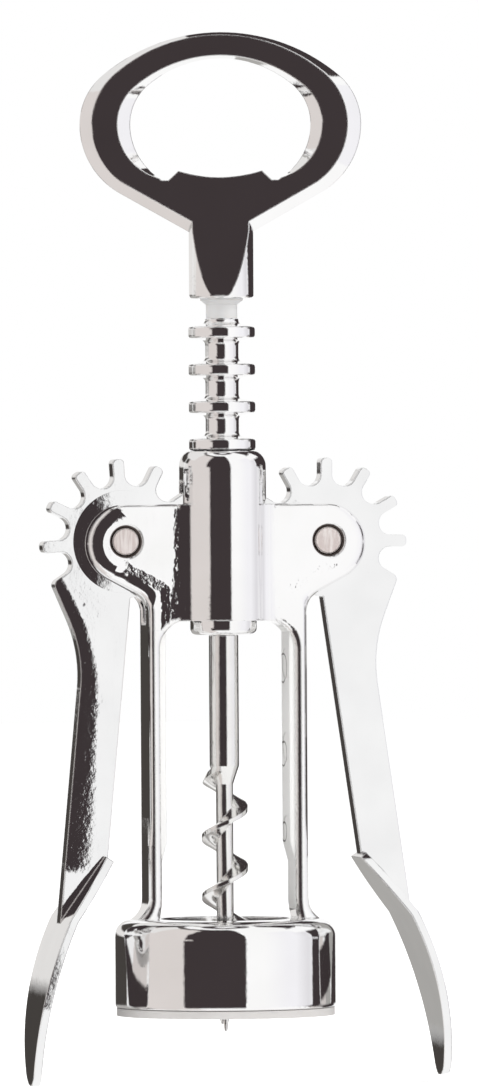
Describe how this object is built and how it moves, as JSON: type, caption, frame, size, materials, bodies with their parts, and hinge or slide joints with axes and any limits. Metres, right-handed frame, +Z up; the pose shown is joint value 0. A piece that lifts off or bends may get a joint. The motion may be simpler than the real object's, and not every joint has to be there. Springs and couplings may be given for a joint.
{
  "type": "wing corkscrew",
  "caption": "Wing corkscrew: a bell that sits over the bottle, geared arms on a ring rack, and a worm turned by an oval handle with a cap lifter.",
  "frame": {"origin": "Middle of the opening that goes over the bottle, level with the liner's lip", "axes": "+Z up the worm's axis, arms in the XZ plane, front towards -Y"},
  "size_m": [0.0777, 0.0404, 0.1911],
  "materials": {
    "cast_chrome": "polished chrome on a die casting",
    "arm_chrome": "polished chrome on pressed arms",
    "rack_chrome": "polished chrome on turned steel",
    "worm_chrome": "chrome on a cut worm",
    "pin_steel": "plain steel, sawn and faced ends",
    "liner_plastic": "moulded off-white plastic",
    "sleeve_plastic": "translucent white plastic tube"
  },
  "bodies": {
    "frame": {"frame": "cast_chrome", "bell_liner": "liner_plastic", "pin_left": "pin_steel", "pin_right": "pin_steel"},
    "arm_left": {"arm_left": "arm_chrome"},
    "arm_right": {"arm_right": "arm_chrome"},
    "rack": {"rack": "rack_chrome"},
    "spindle": {"worm": "worm_chrome", "sleeve": "sleeve_plastic", "handle": "cast_chrome"}
  },
  "joints": [
    {"name": "rack_slide", "type": "slide", "parent": "frame", "child": "rack", "axis": [0, 0, -1], "range_m": [-0.00125, 0.034]},
    {"name": "arm_left_hinge", "type": "hinge", "parent": "frame", "child": "arm_left", "pos_m": [-0.01879, 0, 0.0862], "axis": [0, 1, 0], "range_deg": [-5.6, 150.1]},
    {"name": "arm_right_hinge", "type": "hinge", "parent": "frame", "child": "arm_right", "pos_m": [0.01879, 0, 0.0862], "axis": [0, -1, 0], "range_deg": [-5.6, 150.1]},
    {"name": "handle_spin", "type": "hinge", "parent": "rack", "child": "spindle", "pos_m": [0, 0, 0.1], "axis": [0, 0, 1], "continuous": true}
  ],
  "couplings": [
    {"joint": "arm_left_hinge", "follows": "rack_slide", "rad_per_m": 76.999},
    {"joint": "arm_right_hinge", "follows": "rack_slide", "rad_per_m": 76.999}
  ]
}
